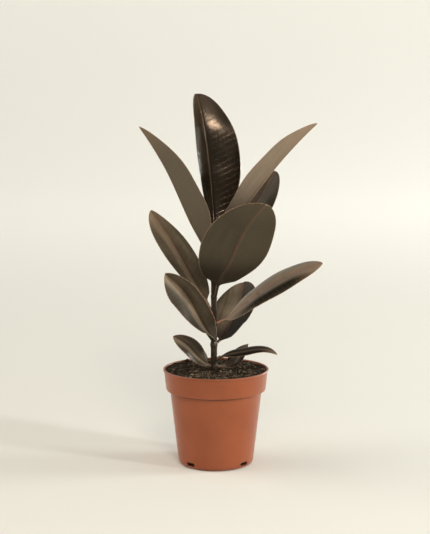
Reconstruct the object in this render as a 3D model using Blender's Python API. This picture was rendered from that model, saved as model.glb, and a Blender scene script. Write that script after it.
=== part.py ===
"""Potted rubber plant: a young burgundy Ficus elastica standing in a 12 cm plastic nursery pot.

Units are metres and +Z is up. The origin is the centre of the pot's base, on the surface it stands on.
The viewer's side is -Y. Bearings are in degrees, seen from above: 0 is +X, 90 is +Y.
"""

import math
from typing import NamedTuple

import bmesh
import bpy
import numpy as np
from mathutils import Matrix, Vector
from mathutils.noise import noise

MM = 0.001
GAP = 0.3  # mm, left between two pieces that touch

# Pot, in mm: a thin-walled tapered body under a wide rim band.
POT_HEIGHT = 110.0
RIM_RADIUS = 60.0
LIP_HEIGHT = 1.8
LIP_ROUNDING = 0.4
BAND_HEIGHT = 23.5
BAND_TOP_RADIUS = 59.0
BAND_FOOT_RADIUS = 56.8
STEP_HEIGHT = 3.0  # the slope under the band, from the body out to the band's foot
BODY_TOP_RADIUS = 52.2
BODY_FOOT_RADIUS = 43.0
BASE_RADIUS = 36.5
FOOT_CURVE_HEIGHT = 6.0
FOOT_CURVE_STEPS = 4
POT_WALL = 1.2
POT_FLOOR = 1.8
POT_SEGMENTS = 64
DRAIN_COUNT = 4
DRAIN_BEARING = 48.0
DRAIN_WIDTH = 12.0
DRAIN_BOTTOM = 3.6
DRAIN_TOP = 8.0
DRAIN_INNER_RADIUS = 33.0
DRAIN_LENGTH = 14.0

# Soil, in mm.
SOIL_EDGE_BELOW_RIM = 1.2
SOIL_DIP = 1.0
SOIL_LUMPS = 2.0
SOIL_RINGS = 7
SOIL_SEGMENTS = 40
STEM_WELL_SIDES = 24

# Stem, in mm. It is planted a little left of the pot's axis.
STEM_X = -2.2
STEM_FOOT = 68.0
STEM_TOP = 242.0
STEM_FOOT_RADIUS = 4.1
STEM_TOP_RADIUS = 3.2
STEM_SIDES = 16
STEM_RINGS = 14
BUD_LENGTH = 28.0
BUD_RADIUS = 2.7
BUD_SIDES = 12
BUD_RINGS = 8
BUD_FOOT_SHARE = 0.85  # its foot, as a share of its radius
BUD_SWELL = 0.35  # how far it then swells, as a share of its radius
BUD_SWELL_REACH = 0.625  # the share of its length that the swelling takes
BUD_TIP_PART = 0.97  # where it is cut off, as a share of the length of its point

# Leaves, in mm.
PETIOLE_RADIUS = 1.7
PETIOLE_RUN_OUT = 0.08  # the share of the blade over which the round stalk turns into it
BLADE_THICKNESS = 1.0
MIDRIB_DEPTH = 2.2
RIB_TAPER = 0.75  # how far the midrib narrows from foot to tip
BLADE_TAPER = 0.4  # how far the blade thins from foot to tip
BLADE_STATIONS = 14
PETIOLE_STATIONS = 3
PATH_STEPS = 24
STRIPS = 6
SHARP_ANGLE = 40.0  # degrees


class Leaf(NamedTuple):
    """One leaf. Lengths are in mm and angles in degrees."""

    name: str
    height: float  # where it leaves the stem
    bearing: float
    face: tuple  # the way its upper side faces
    half_width: float
    midrib: list  # places that the midrib passes through, from the foot of the blade to the tip
    fold: float = 20.0  # how steeply each half rises beside the midrib
    curl: float = -20.0  # how far each half then bends, from midrib to margin
    twist: float = 0.0  # how far the blade turns about its midrib, from foot to tip
    foot_turn: float = 0.0  # a further turn at the foot, which dies away towards the tip
    widest: float = 0.55  # where the blade is widest, as a share of its length
    foot: float = 0.9  # how the outline narrows to the foot: under 0.6 is round, over 1 is a wedge
    point: float = 0.6  # the same, towards the tip


# From the soil upwards.
LEAVES = [
    Leaf("leaf_01", 113, 190, (0.35, -0.85, 0.4), 12, fold=40, curl=-30, twist=-40, widest=0.45, foot=0.5,
         midrib=[(-9, -4, 115), (-20, -7, 124), (-31, -11, 137), (-48, -16, 150)]),
    Leaf("leaf_02", 112, 20, (-0.6, -0.7, 0.4), 10, fold=15, point=1.0, widest=0.45,
         midrib=[(9, 2, 112), (20, 5, 117), (28, 9, 126), (37, 12, 136)]),
    Leaf("leaf_03", 121, 345, (-0.05, -0.22, 0.97), 12, fold=10, curl=-30, widest=0.45, point=0.9,
         midrib=[(4, -5, 124), (28, -12, 132), (61, -21, 135), (69, -24, 131)]),
    Leaf("leaf_04", 139, 50, (-0.4, -0.65, 0.6), 27, fold=20, curl=-10, foot=0.5, point=0.55,
         midrib=[(4, 6, 141), (16, 28, 155), (27, 52, 177), (32, 74, 197)]),
    Leaf("leaf_05", 138, 268, (-0.11, -1.0, -0.06), 21, fold=52, curl=-25, foot_turn=100, widest=0.7, foot=0.65,
         midrib=[(-2, -9, 141), (-13, -14, 160), (-36, -24, 203), (-56, -32, 224)]),
    Leaf("leaf_06", 163, 340, (-0.42, -0.3, 0.85), 26, fold=8, curl=-30, widest=0.6, foot=0.7, point=0.55,
         midrib=[(9, -6, 167), (41, -14, 195), (83, -24, 222), (118, -33, 236)]),
    Leaf("leaf_07", 178, 150, (0.15, -1.0, 0.1), 20, fold=50, curl=-20, twist=-60, widest=0.52, foot=0.6,
         midrib=[(-10, 5, 185), (-29, 10, 216), (-53, 18, 258), (-74, 25, 288)]),
    Leaf("leaf_08", 193, 290, (-0.05, 0.7, 0.7), 39, fold=12, curl=-10, widest=0.47, foot=0.55,
         midrib=[(2, -9, 206), (15, -35, 236), (33, -66, 279), (53, -92, 308)]),
    Leaf("leaf_09", 212, 30, (-0.5, -0.7, 0.5), 28, fold=15, curl=-10,
         midrib=[(6, 10, 231), (31, 26, 271), (53, 42, 306), (68, 57, 330)]),
    Leaf("leaf_10", 222, 200, (0.8, 0.1, 0.5), 34, fold=47, curl=-8, widest=0.38, point=0.9,
         midrib=[(-9, -6, 240), (-28, -9, 279), (-59, -9, 345), (-85, -6, 385)]),
    Leaf("leaf_11", 232, 340, (-0.75, 0.12, 0.6), 29, fold=42, curl=-8, widest=0.48, foot=0.8, point=0.7,
         midrib=[(5, -5, 258), (38, -8, 304), (75, -9, 351), (112, -10, 389)]),
    Leaf("leaf_12", 236, 95, (0.65, -0.78, 0.2), 37, fold=38, curl=-12, widest=0.53, foot=1.0, point=0.57,
         midrib=[(-2, 18, 260), (-7, 32, 333), (-14, 38, 384), (-22, 50, 419)]),
]


def material(name, colour, roughness):
    made = bpy.data.materials.new(name)
    made.use_nodes = True
    shader = made.node_tree.nodes["Principled BSDF"]
    shader.inputs["Base Color"].default_value = (*colour, 1.0)
    shader.inputs["Roughness"].default_value = roughness
    shader.inputs["Metallic"].default_value = 0.0
    return made


def add_object(name, mesh, surface):
    made = bpy.data.objects.new(name, mesh)
    bpy.context.collection.objects.link(made)
    mesh.materials.append(surface)
    mesh.shade_smooth()
    mesh.set_sharp_from_angle(angle=math.radians(SHARP_ANGLE))
    return made


def lofted(name, rings):
    """A closed mesh through rings of points, in mm, with a flat cap at each end."""
    built = bmesh.new()
    rows = [[built.verts.new(Vector(point) * MM) for point in ring] for ring in rings]
    for low, high in zip(rows, rows[1:]):
        for i in range(len(low)):
            j = (i + 1) % len(low)
            built.faces.new((low[i], low[j], high[j], high[i]))
    built.faces.new(rows[0])
    built.faces.new(rows[-1])
    bmesh.ops.recalc_face_normals(built, faces=built.faces)
    mesh = bpy.data.meshes.new(name)
    built.to_mesh(mesh)
    built.free()
    return mesh


def turned(name, profile, segments):
    """A closed mesh of revolution about Z. The profile is a list of (radius, height), in mm, that starts
    and ends on the axis."""
    built = bmesh.new()
    rows = []
    for radius, height in profile[1:-1]:
        turns = [math.tau * k / segments for k in range(segments)]
        rows.append([built.verts.new(Vector((radius * math.cos(a), radius * math.sin(a), height)) * MM)
                     for a in turns])
    ends = [built.verts.new((0.0, 0.0, profile[end][1] * MM)) for end in (0, -1)]
    for end, row in zip(ends, (rows[0], rows[-1])):
        for i in range(segments):
            built.faces.new((end, row[i], row[(i + 1) % segments]))
    for low, high in zip(rows, rows[1:]):
        for i in range(segments):
            j = (i + 1) % segments
            built.faces.new((low[i], low[j], high[j], high[i]))
    bmesh.ops.recalc_face_normals(built, faces=built.faces)
    mesh = bpy.data.meshes.new(name)
    built.to_mesh(mesh)
    built.free()
    return mesh


def arc(centre, radius, start, stop, steps):
    """Points (radius, height) along an arc, between two angles in degrees."""
    angles = [math.radians(start + (stop - start) * k / steps) for k in range(steps + 1)]
    return [(centre[0] + radius[0] * math.cos(a), centre[1] + radius[1] * math.sin(a)) for a in angles]


def band_foot():
    """The height at which the rim band begins."""
    return POT_HEIGHT - BAND_HEIGHT


def inner_radius(height):
    """The radius of the pot's inside at a height below the rim band."""
    part = (height - FOOT_CURVE_HEIGHT) / (band_foot() - FOOT_CURVE_HEIGHT)
    return BODY_FOOT_RADIUS + (BODY_TOP_RADIUS - BODY_FOOT_RADIUS) * part - POT_WALL


def inner_profile():
    """The pot's inside, as (radius, height) from the rim down to the floor."""
    return [(BAND_TOP_RADIUS - POT_WALL, POT_HEIGHT),
            (BAND_FOOT_RADIUS - POT_WALL, band_foot() + POT_WALL),
            (inner_radius(band_foot()), band_foot() - STEP_HEIGHT + POT_WALL),
            (inner_radius(FOOT_CURVE_HEIGHT), FOOT_CURVE_HEIGHT),
            (BASE_RADIUS - POT_WALL, POT_FLOOR)]


def add_cutter(name, mesh):
    cutter = bpy.data.objects.new(name, mesh)
    bpy.context.collection.objects.link(cutter)
    cutter.hide_render = True
    cutter.display_type = "WIRE"
    return cutter


def cut(target, cutter):
    difference = target.modifiers.new(cutter.name, "BOOLEAN")
    difference.operation = "DIFFERENCE"
    difference.object = cutter


def make_drain_cutter():
    """One block through each drainage slot low in the wall."""
    built = bmesh.new()
    size = Vector((DRAIN_LENGTH, DRAIN_WIDTH, DRAIN_TOP - DRAIN_BOTTOM)) * MM
    centre = Vector((DRAIN_INNER_RADIUS + DRAIN_LENGTH / 2, 0.0, (DRAIN_TOP + DRAIN_BOTTOM) / 2)) * MM
    for k in range(DRAIN_COUNT):
        block = bmesh.ops.create_cube(built, size=1.0)["verts"]
        bmesh.ops.scale(built, vec=size, verts=block)
        bmesh.ops.translate(built, vec=centre, verts=block)
        turn = Matrix.Rotation(math.radians(DRAIN_BEARING + 360.0 * k / DRAIN_COUNT), 3, "Z")
        bmesh.ops.rotate(built, cent=(0.0, 0.0, 0.0), matrix=turn, verts=block)
    mesh = bpy.data.meshes.new("drain_slots")
    built.to_mesh(mesh)
    built.free()
    return add_cutter("drain_slots", mesh)


def make_pot():
    lip_foot = POT_HEIGHT - LIP_HEIGHT
    outside = [(0.0, 0.0)]
    outside += arc((BASE_RADIUS, FOOT_CURVE_HEIGHT), (BODY_FOOT_RADIUS - BASE_RADIUS, FOOT_CURVE_HEIGHT),
                   -90, 0, FOOT_CURVE_STEPS)
    outside += [(BODY_TOP_RADIUS, band_foot() - STEP_HEIGHT),
                (BAND_FOOT_RADIUS - LIP_ROUNDING, band_foot()),
                (BAND_FOOT_RADIUS, band_foot() + LIP_HEIGHT),
                (BAND_TOP_RADIUS, lip_foot - LIP_ROUNDING),
                (RIM_RADIUS, lip_foot),
                (RIM_RADIUS, POT_HEIGHT - LIP_ROUNDING),
                (RIM_RADIUS - LIP_ROUNDING, POT_HEIGHT)]
    mesh = turned("pot", outside + inner_profile() + [(0.0, POT_FLOOR)], POT_SEGMENTS)
    pot = add_object("pot", mesh, material("pot_plastic", (0.36, 0.09, 0.035), 0.45))
    cut(pot, make_drain_cutter())


def soil_height(x, y):
    """The height of the soil's surface, in mm, at a place in mm."""
    out = min(1.0, math.hypot(x, y) / BAND_TOP_RADIUS)
    broad = noise(Vector((x / 14, y / 14, 3.0)))
    fine = noise(Vector((x / 6, y / 6, 9.0)))
    level = POT_HEIGHT - SOIL_EDGE_BELOW_RIM - SOIL_DIP * (1.0 - out**2)
    return level + SOIL_LUMPS * (broad + fine / 2) * (1.0 - out**6)


def make_soil():
    """The soil fills the pot to just under its rim, and has a well where the stem goes in."""
    edge = POT_HEIGHT - SOIL_EDGE_BELOW_RIM
    sides = [(radius - GAP, height + GAP) for radius, height in inner_profile()[:0:-1]]
    top_radius = inner_profile()[0][0] - 2 * GAP
    top = [(top_radius * k / SOIL_RINGS, edge) for k in range(SOIL_RINGS, 0, -1)]
    mesh = turned("soil", [(0.0, POT_FLOOR + GAP)] + sides + top + [(0.0, edge)], SOIL_SEGMENTS)
    for vert in mesh.vertices:
        if vert.co.z > (edge - GAP) * MM:
            vert.co.z = soil_height(vert.co.x / MM, vert.co.y / MM) * MM
    soil = add_object("soil", mesh, material("potting_soil", (0.028, 0.02, 0.014), 0.95))
    turns = [360.0 * k / STEM_WELL_SIDES for k in range(STEM_WELL_SIDES)]
    rings = [[stem_point(height, turn, stem_radius(height) + GAP) for turn in turns]
             for height in (STEM_FOOT - GAP, POT_HEIGHT + STEM_FOOT_RADIUS)]
    cut(soil, add_cutter("stem_well", lofted("stem_well", rings)))


def stem_radius(height):
    part = (height - STEM_FOOT) / (STEM_TOP - STEM_FOOT)
    return STEM_FOOT_RADIUS + (STEM_TOP_RADIUS - STEM_FOOT_RADIUS) * part


def stem_point(height, bearing, radius):
    turn = math.radians(bearing)
    return (STEM_X + radius * math.cos(turn), radius * math.sin(turn), height)


def make_stem():
    heights = np.linspace(STEM_FOOT, STEM_TOP, STEM_RINGS)
    turns = [360.0 * k / STEM_SIDES for k in range(STEM_SIDES)]
    rings = [[stem_point(height, turn, stem_radius(height)) for turn in turns] for height in heights]
    add_object("stem", lofted("stem", rings), material("young_bark", (0.05, 0.028, 0.02), 0.6))


def make_bud():
    """The rolled sheath that holds the next leaf, on the tip of the stem: fullest a third of the way up."""
    turns = [360.0 * k / BUD_SIDES for k in range(BUD_SIDES)]
    rings = []
    for part in np.linspace(0.0, BUD_TIP_PART, BUD_RINGS):
        swell = BUD_FOOT_SHARE + BUD_SWELL * math.sin(math.pi * min(1.0, part / BUD_SWELL_REACH))
        radius = BUD_RADIUS * swell * (1.0 - part**1.8) ** 0.7
        rings.append([stem_point(STEM_TOP + GAP + BUD_LENGTH * part, turn, radius) for turn in turns])
    add_object("bud_sheath", lofted("bud_sheath", rings), material("bud_skin", (0.25, 0.05, 0.03), 0.4))


def smooth_path(points):
    """Places on a smooth curve through the points, PATH_STEPS of them in each span."""
    points = np.array(points, float)
    knots = np.concatenate([[0.0], np.cumsum(np.linalg.norm(np.diff(points, axis=0), axis=1))])
    slopes = np.gradient(points, knots, axis=0, edge_order=2)
    slopes[0, 2] = 0.0
    places = []
    for i in range(len(points) - 1):
        span = knots[i + 1] - knots[i]
        for t in np.arange(PATH_STEPS) / PATH_STEPS:
            places.append((2 * t**3 - 3 * t**2 + 1) * points[i] + (t**3 - 2 * t**2 + t) * span * slopes[i]
                          + (3 * t**2 - 2 * t**3) * points[i + 1] + (t**3 - t**2) * span * slopes[i + 1])
    return np.array(places + [points[-1]])


def unit(vector):
    return vector / np.linalg.norm(vector)


def outline(leaf, part):
    """The blade's half width, as a share of its widest, at a share of its length."""
    if part < leaf.widest:
        return (1.0 - ((leaf.widest - part) / leaf.widest) ** 2) ** leaf.foot
    return (1.0 - ((part - leaf.widest) / (1.0 - leaf.widest)) ** 2) ** leaf.point


def turned_about(vector, axis, degrees):
    """The vector, which is square to the axis, turned about it."""
    turn = math.radians(degrees)
    return vector * math.cos(turn) + np.cross(axis, vector) * math.sin(turn)


def leaf_rings(leaf):
    """Rings of points round the petiole and then round the blade, whose section is a shallow V."""
    joint = stem_point(leaf.height, leaf.bearing, stem_radius(leaf.height) + GAP)
    places = smooth_path([joint] + leaf.midrib)
    length = np.concatenate([[0.0], np.cumsum(np.linalg.norm(np.diff(places, axis=0), axis=1))])
    foot = length[PATH_STEPS]

    def place_at(station):
        return np.array([np.interp(station, length, places[:, axis]) for axis in range(3)])

    stations = list(np.linspace(0.0, foot, PETIOLE_STATIONS, endpoint=False))
    spread = (1.0 - np.cos(np.linspace(0.0, math.pi, BLADE_STATIONS))) / 2
    stations += list(foot + (length[-1] - foot) * spread)
    rings = []
    for station in stations:
        centre = place_at(station)
        along = unit(place_at(station + 1.0) - place_at(station - 1.0))
        if station == 0.0:
            turn = math.radians(leaf.bearing)
            along = np.array([math.cos(turn), math.sin(turn), 0.0])
        part = max(0.0, (station - foot) / (length[-1] - foot))
        upper = unit(np.array(leaf.face) - np.dot(leaf.face, along) * along)
        upper = turned_about(upper, along, leaf.twist * (part - 0.5) + leaf.foot_turn * (1.0 - part) ** 3)
        rings.append(section(leaf, centre, upper, np.cross(along, upper), part))
    return rings


def section(leaf, centre, upper, across, part):
    """One ring: round in the petiole, and over the first of the blade drawn out into two thin halves."""
    flat = min(1.0, part / PETIOLE_RUN_OUT)
    half = max(PETIOLE_RADIUS * (1.0 - RIB_TAPER * part), leaf.half_width * outline(leaf, part))
    ring = []
    for k in range(2 * STRIPS):
        side = k if k <= STRIPS else 2 * STRIPS - k
        share = -1.0 + 2.0 * side / STRIPS
        bend = math.radians(leaf.fold + leaf.curl * abs(share) / 2)
        lift = half * abs(share) * math.sin(bend)
        if k > STRIPS:
            lift -= BLADE_THICKNESS * (1.0 - BLADE_TAPER * part)
            lift -= (MIDRIB_DEPTH * (1.0 - part)) if side == STRIPS // 2 else 0.0
        blade = half * share * math.cos(bend) * across + lift * upper
        turn = math.pi * (1.0 - k / STRIPS)
        stalk = PETIOLE_RADIUS * (math.cos(turn) * across + math.sin(turn) * upper)
        ring.append(centre + stalk * (1.0 - flat) + blade * flat)
    return ring


def make_leaves():
    surface = material("leaf", (0.055, 0.04, 0.028), 0.35)
    for leaf in LEAVES:
        add_object(leaf.name, lofted(leaf.name, leaf_rings(leaf)), surface)


def main():
    for old in list(bpy.data.objects):
        bpy.data.objects.remove(old, do_unlink=True)
    make_pot()
    make_soil()
    make_stem()
    make_bud()
    make_leaves()


main()
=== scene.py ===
"""Looks of the potted rubber plant: fine leaves, stem, bud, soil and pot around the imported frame.

Leaves, stem and pot follow the CAD solids, whose driving dimensions are repeated here in millimetres.
Bearings are in degrees, seen from above: 0 is +X, 90 is +Y. The viewer's side is -Y, and the stage is pale.
"""
import math
import random
from typing import NamedTuple

import bmesh
import bpy
import numpy as np
from mathutils import Matrix, Vector
from mathutils.noise import noise


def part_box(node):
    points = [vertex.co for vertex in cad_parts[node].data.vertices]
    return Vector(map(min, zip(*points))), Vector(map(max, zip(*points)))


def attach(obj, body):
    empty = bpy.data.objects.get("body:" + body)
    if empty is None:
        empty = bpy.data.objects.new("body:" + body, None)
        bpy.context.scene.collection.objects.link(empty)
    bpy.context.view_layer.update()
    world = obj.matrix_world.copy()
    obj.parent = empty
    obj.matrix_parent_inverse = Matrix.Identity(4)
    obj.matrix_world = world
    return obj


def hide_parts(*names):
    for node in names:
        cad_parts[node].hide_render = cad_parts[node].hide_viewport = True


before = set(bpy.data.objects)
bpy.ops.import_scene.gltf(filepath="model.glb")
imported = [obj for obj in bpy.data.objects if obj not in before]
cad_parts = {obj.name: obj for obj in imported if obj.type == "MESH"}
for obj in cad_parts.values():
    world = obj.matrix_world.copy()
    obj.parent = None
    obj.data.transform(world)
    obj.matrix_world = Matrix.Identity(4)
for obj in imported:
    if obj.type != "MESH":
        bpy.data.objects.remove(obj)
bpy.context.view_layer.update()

MM = 0.001

# Camera: its place in metres, its downward tilt in degrees, and its lens.
CAMERA_PLACE = (-0.001, -1.760, 0.492)
CAMERA_TILT = 8.575
CAMERA_LENS = 106.38

# Leaves, in mm. The groove runs along the top of the midrib, and the ridge along its underside.
PETIOLE_RADIUS = 1.7
BLADE_THICKNESS = 0.55
RIM_THICKNESS = 0.35
RIM_TAPER = 2.5  # how far in from the margin the blade has its whole thickness
GROOVE_DEPTH = 0.45
GROOVE_WIDTH = 1.1
RIDGE_DEPTH = 1.7
RIDGE_WIDTH = 2.4
VEIN_SPACING = 6.5
VEIN_RELIEF = 0.02
VEIN_SLANT = 0.36  # how far the side veins lean towards the tip, for each mm out
PETIOLE_RUN_OUT = 0.07  # the share of the blade's length in which the petiole flattens out

# Stations along a leaf, and places from the midrib out, as shares of the half width.
BLADE_STATIONS = 150
PETIOLE_STATIONS = 10
PATH_STEPS = 24
SHARES = [(k / 14) ** 1.6 for k in range(14)] + [0.955, 0.985, 1.0]


class Leaf(NamedTuple):
    """One leaf. Lengths are in mm and angles in degrees. Its first half is the one on the left of the midrib,
    seen from the upper side with the foot down."""

    name: str
    height: float  # where it leaves the stem
    bearing: float
    face: tuple  # the way its upper side faces
    half_width: float
    midrib: list  # places that the midrib passes through, from the foot of the blade to the tip
    fold: float = 20.0  # how steeply each half rises beside the midrib
    curl: float = -20.0  # how far each half then bends, from midrib to margin
    twist: float = 0.0  # how far the blade turns about its midrib, from foot to tip
    foot_turn: float = 0.0  # a further turn at the foot, which dies away towards the tip
    widest: float = 0.55  # where the blade is widest, as a share of its length
    foot: float = 0.9  # how the outline narrows to the foot: under 0.6 is round, over 1 is a wedge
    point: float = 0.6  # the same, towards the tip
    wave: float = 0.8  # how far the margin ripples, in mm
    top: tuple = (0.017, 0.0110, 0.0058)  # colour of the upper side
    under: tuple = (0.070, 0.052, 0.032)  # colour of the underside
    under_half_lighting: float = 1.0  # how light the underside's first half is, painted light for the way it faces the lamps
    rib: float = 0.35  # how far the midrib stands out in colour
    shaded: float = 1.0  # painted shade: how much of its colour is left at the foot of the blade
    shaded_to: float = 55.0  # how far along the blade that goes, in mm
    rough: float = 0.30  # roughness of the upper side
    shine: float = 0.32  # specular level of the upper side
    half_lighting: tuple = (1.0, 1.0)  # painted light and shade: how light the upper side of each half is, by the way it faces the lamps
    sheen_band: tuple = (0.2, 0.2)  # how far a painted sheen band beside the midrib stands out on each half
    tip: float = 0.1  # how far the tip is lighter and pinker


# From the soil upwards. The top and under colours differ from leaf to leaf partly as painted light and sheen,
# lighter where a leaf catches the lamps and darker where it is shaded.
LEAVES = [
    Leaf("leaf_01", 113, 190, (0.35, -0.85, 0.4), 12, fold=40, curl=-30, twist=-40, widest=0.45, foot=0.5,
         midrib=[(-9, -4, 115), (-20, -7, 124), (-31, -11, 137), (-48, -16, 150)], wave=0.4,
         top=(0.040, 0.030, 0.019), rib=0.15, half_lighting=(1.3, 0.7), sheen_band=(0.55, 0.15)),
    Leaf("leaf_02", 112, 20, (-0.6, -0.7, 0.4), 10, fold=15, widest=0.45, point=1.0,
         midrib=[(9, 2, 112), (20, 5, 117), (28, 9, 126), (37, 12, 136)], wave=0.3,
         top=(0.034, 0.026, 0.016), rib=0.2, sheen_band=(0.5, 0.3)),
    Leaf("leaf_03", 121, 345, (-0.05, -0.22, 0.97), 12, fold=10, curl=-30, widest=0.45, point=0.9,
         midrib=[(4, -5, 124), (28, -12, 132), (61, -21, 135), (69, -24, 131)], wave=0.3,
         top=(0.011, 0.0078, 0.0042), rib=0.2, shine=0.06, sheen_band=(0.05, 0.15), tip=0.35),
    Leaf("leaf_04", 139, 50, (-0.4, -0.65, 0.6), 27, fold=20, curl=-10, foot=0.5, point=0.55,
         midrib=[(4, 6, 141), (16, 28, 155), (27, 52, 177), (32, 74, 197)],
         top=(0.065, 0.049, 0.031), shaded=0.1, shine=0.10, half_lighting=(1.9, 0.3), sheen_band=(0.5, 0.0)),
    Leaf("leaf_05", 138, 268, (-0.11, -1.0, -0.06), 21, fold=52, curl=-25, foot_turn=100, widest=0.7,
         midrib=[(-2, -9, 141), (-13, -14, 160), (-36, -24, 203), (-56, -32, 224)], foot=0.65,
         top=(0.068, 0.053, 0.035), rib=0.15, shaded=0.4, rough=0.42, half_lighting=(0.45, 1.0), sheen_band=(1.0, 0.0)),
    Leaf("leaf_06", 163, 340, (-0.42, -0.3, 0.85), 26, fold=8, curl=-30, widest=0.6, foot=0.7, point=0.72,
         midrib=[(9, -6, 167), (41, -14, 195), (83, -24, 222), (118, -33, 236)],
         top=(0.135, 0.105, 0.069), rib=1.0, shine=0.22, half_lighting=(1.7, 0.08), sheen_band=(0.5, 1.0), tip=0.6),
    Leaf("leaf_07", 178, 150, (0.15, -1.0, 0.1), 20, fold=50, curl=-20, twist=-60, widest=0.52, foot=0.6,
         midrib=[(-10, 5, 185), (-29, 10, 216), (-53, 18, 258), (-74, 25, 288)],
         top=(0.135, 0.106, 0.069), rib=0.25, rough=0.4, half_lighting=(0.6, 0.74), sheen_band=(0.95, 0.1), tip=0.5),
    Leaf("leaf_08", 193, 290, (-0.05, 0.7, 0.7), 39, fold=12, curl=-10, widest=0.47, foot=0.55,
         midrib=[(2, -9, 206), (15, -35, 236), (33, -66, 279), (53, -92, 308)],
         under=(0.050, 0.040, 0.025), under_half_lighting=1.2, rib=0.5, shaded=0.3),
    Leaf("leaf_09", 212, 30, (-0.5, -0.7, 0.5), 28, fold=15, curl=-10,
         midrib=[(6, 10, 231), (31, 26, 271), (53, 42, 306), (68, 57, 330)],
         top=(0.052, 0.040, 0.025), shine=0.14, half_lighting=(1.5, 1.05), sheen_band=(0.3, 0.1)),
    Leaf("leaf_10", 222, 200, (0.8, 0.1, 0.5), 34, fold=47, curl=-8, widest=0.38, point=0.9,
         midrib=[(-9, -6, 240), (-28, -9, 279), (-59, -9, 345), (-85, -6, 385)],
         under=(0.106, 0.084, 0.057), tip=0.35),
    Leaf("leaf_11", 232, 340, (-0.75, 0.12, 0.6), 29, fold=42, curl=-8, widest=0.48, foot=0.8, point=0.7,
         midrib=[(5, -5, 258), (38, -8, 304), (75, -9, 351), (112, -10, 389)],
         under=(0.192, 0.139, 0.094), shaded=0.05, shaded_to=95, tip=0.7),
    Leaf("leaf_12", 236, 95, (0.65, -0.78, 0.2), 37, fold=38, curl=-12, widest=0.53, foot=1.0, point=0.57,
         midrib=[(-2, 18, 260), (-7, 32, 333), (-14, 38, 384), (-22, 50, 419)],
         rib=0.15, shaded=0.4, shaded_to=90, rough=0.18, shine=0.30, half_lighting=(1.5, 0.6), sheen_band=(0.0, 0.0)),
]


# ---------------------------------------------------------------- stage, lights and camera

def make_camera():
    data = bpy.data.cameras.new("camera")
    data.lens = CAMERA_LENS
    data.sensor_width = 36.0
    data.clip_end = 50.0
    camera = bpy.data.objects.new("camera", data)
    bpy.context.scene.collection.objects.link(camera)
    camera.location = CAMERA_PLACE
    camera.rotation_euler = (math.radians(90.0 - CAMERA_TILT), 0.0, 0.0)
    bpy.context.scene.camera = camera


STAGE_FLAT_RADIUS = 3.2
STAGE_WALL_RADIUS = 6.0
STAGE_HEIGHT = 1.25


def make_stage():
    """A round floor that sweeps up into a low wall, so that no horizon shows from any side."""
    profile = [(0.0, 0.0), (0.3, 0.0), (1.0, 0.0), (STAGE_FLAT_RADIUS, 0.0)]
    for k in range(1, 33):
        turn = math.radians(90.0 * k / 32)
        profile.append((STAGE_FLAT_RADIUS + (STAGE_WALL_RADIUS - STAGE_FLAT_RADIUS) * math.sin(turn),
                        STAGE_HEIGHT * (1.0 - math.cos(turn))))
    stage = revolved("stage", profile, 96, scale=1.0, close_end=False)
    stage.data.materials.append(stage_paper())


def area_light(name, place, target, size, power, colour, kind):
    data = bpy.data.lights.new(name, "AREA")
    data.shape = "RECTANGLE"
    data.size, data.size_y = size
    data.energy = power
    data.color = colour
    light = bpy.data.objects.new(name, data)
    bpy.context.scene.collection.objects.link(light)
    light.location = place
    light.rotation_euler = (Vector(target) - Vector(place)).to_track_quat("-Z", "Y").to_euler()
    light.visible_camera = False
    light.visible_diffuse = kind != "gloss"
    light.visible_glossy = kind != "fill"


# Light from the studio around: the even part, then two patches, one on the left and one high in front. A
# patch has the bearing and height of its middle and its half width, in degrees, then its strength and colour.
SKY = 0.395
SKY_COLOUR = (0.985, 0.965, 0.92)
SKY_PATCHES = [
    (175, 24, 38, 2.1, (1.0, 0.95, 0.86)),
    (280, 42, 16, 0.9, (1.0, 0.92, 0.82)),
]
# The key light: its bearing, height and width in degrees, its strength and colour.
KEY = (-28.5, 18.0, 7.0, 1.13, (0.95, 1.0, 1.0))
# Lamps: name, place, target and size in metres, power in watts, colour, and kind. A "gloss" lamp makes only
# highlights, a "fill" lamp makes none, and "both" is an ordinary lamp.
LAMPS = [
    ("side", (1.90, 0.10, 0.75), (0.0, 0.0, 0.22), (0.7, 0.6), 19.0, (0.92, 1.0, 0.99), "both"),
    ("edge", (1.30, 1.00, 0.20), (0.0, 0.0, 0.08), (0.5, 0.32), 27.0, (0.92, 0.98, 1.0), "gloss"),
    ("glint", (0.32, -1.50, 1.12), (0.0, 0.0, 0.38), (0.26, 0.06), 13.5, (1.0, 0.78, 0.63), "gloss"),
    ("front", (0.30, -1.90, 1.50), (0.0, 0.0, 0.20), (0.5, 0.5), 15.0, (1.0, 0.89, 0.76), "fill"),
    ("back wall", (2.0, 2.0, 2.2), (1.5, 5.4, 0.0), (2.4, 1.2), 52.0, (0.92, 0.98, 1.0), "both"),
    ("left wall", (-1.2, 2.0, 2.0), (-2.2, 5.0, 0.0), (2.6, 1.2), 6.0, (1.0, 0.95, 0.86), "both"),
]


def direction(bearing, height):
    a, e = math.radians(bearing), math.radians(height)
    return (math.cos(a) * math.cos(e), math.sin(a) * math.cos(e), math.sin(e))


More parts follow.
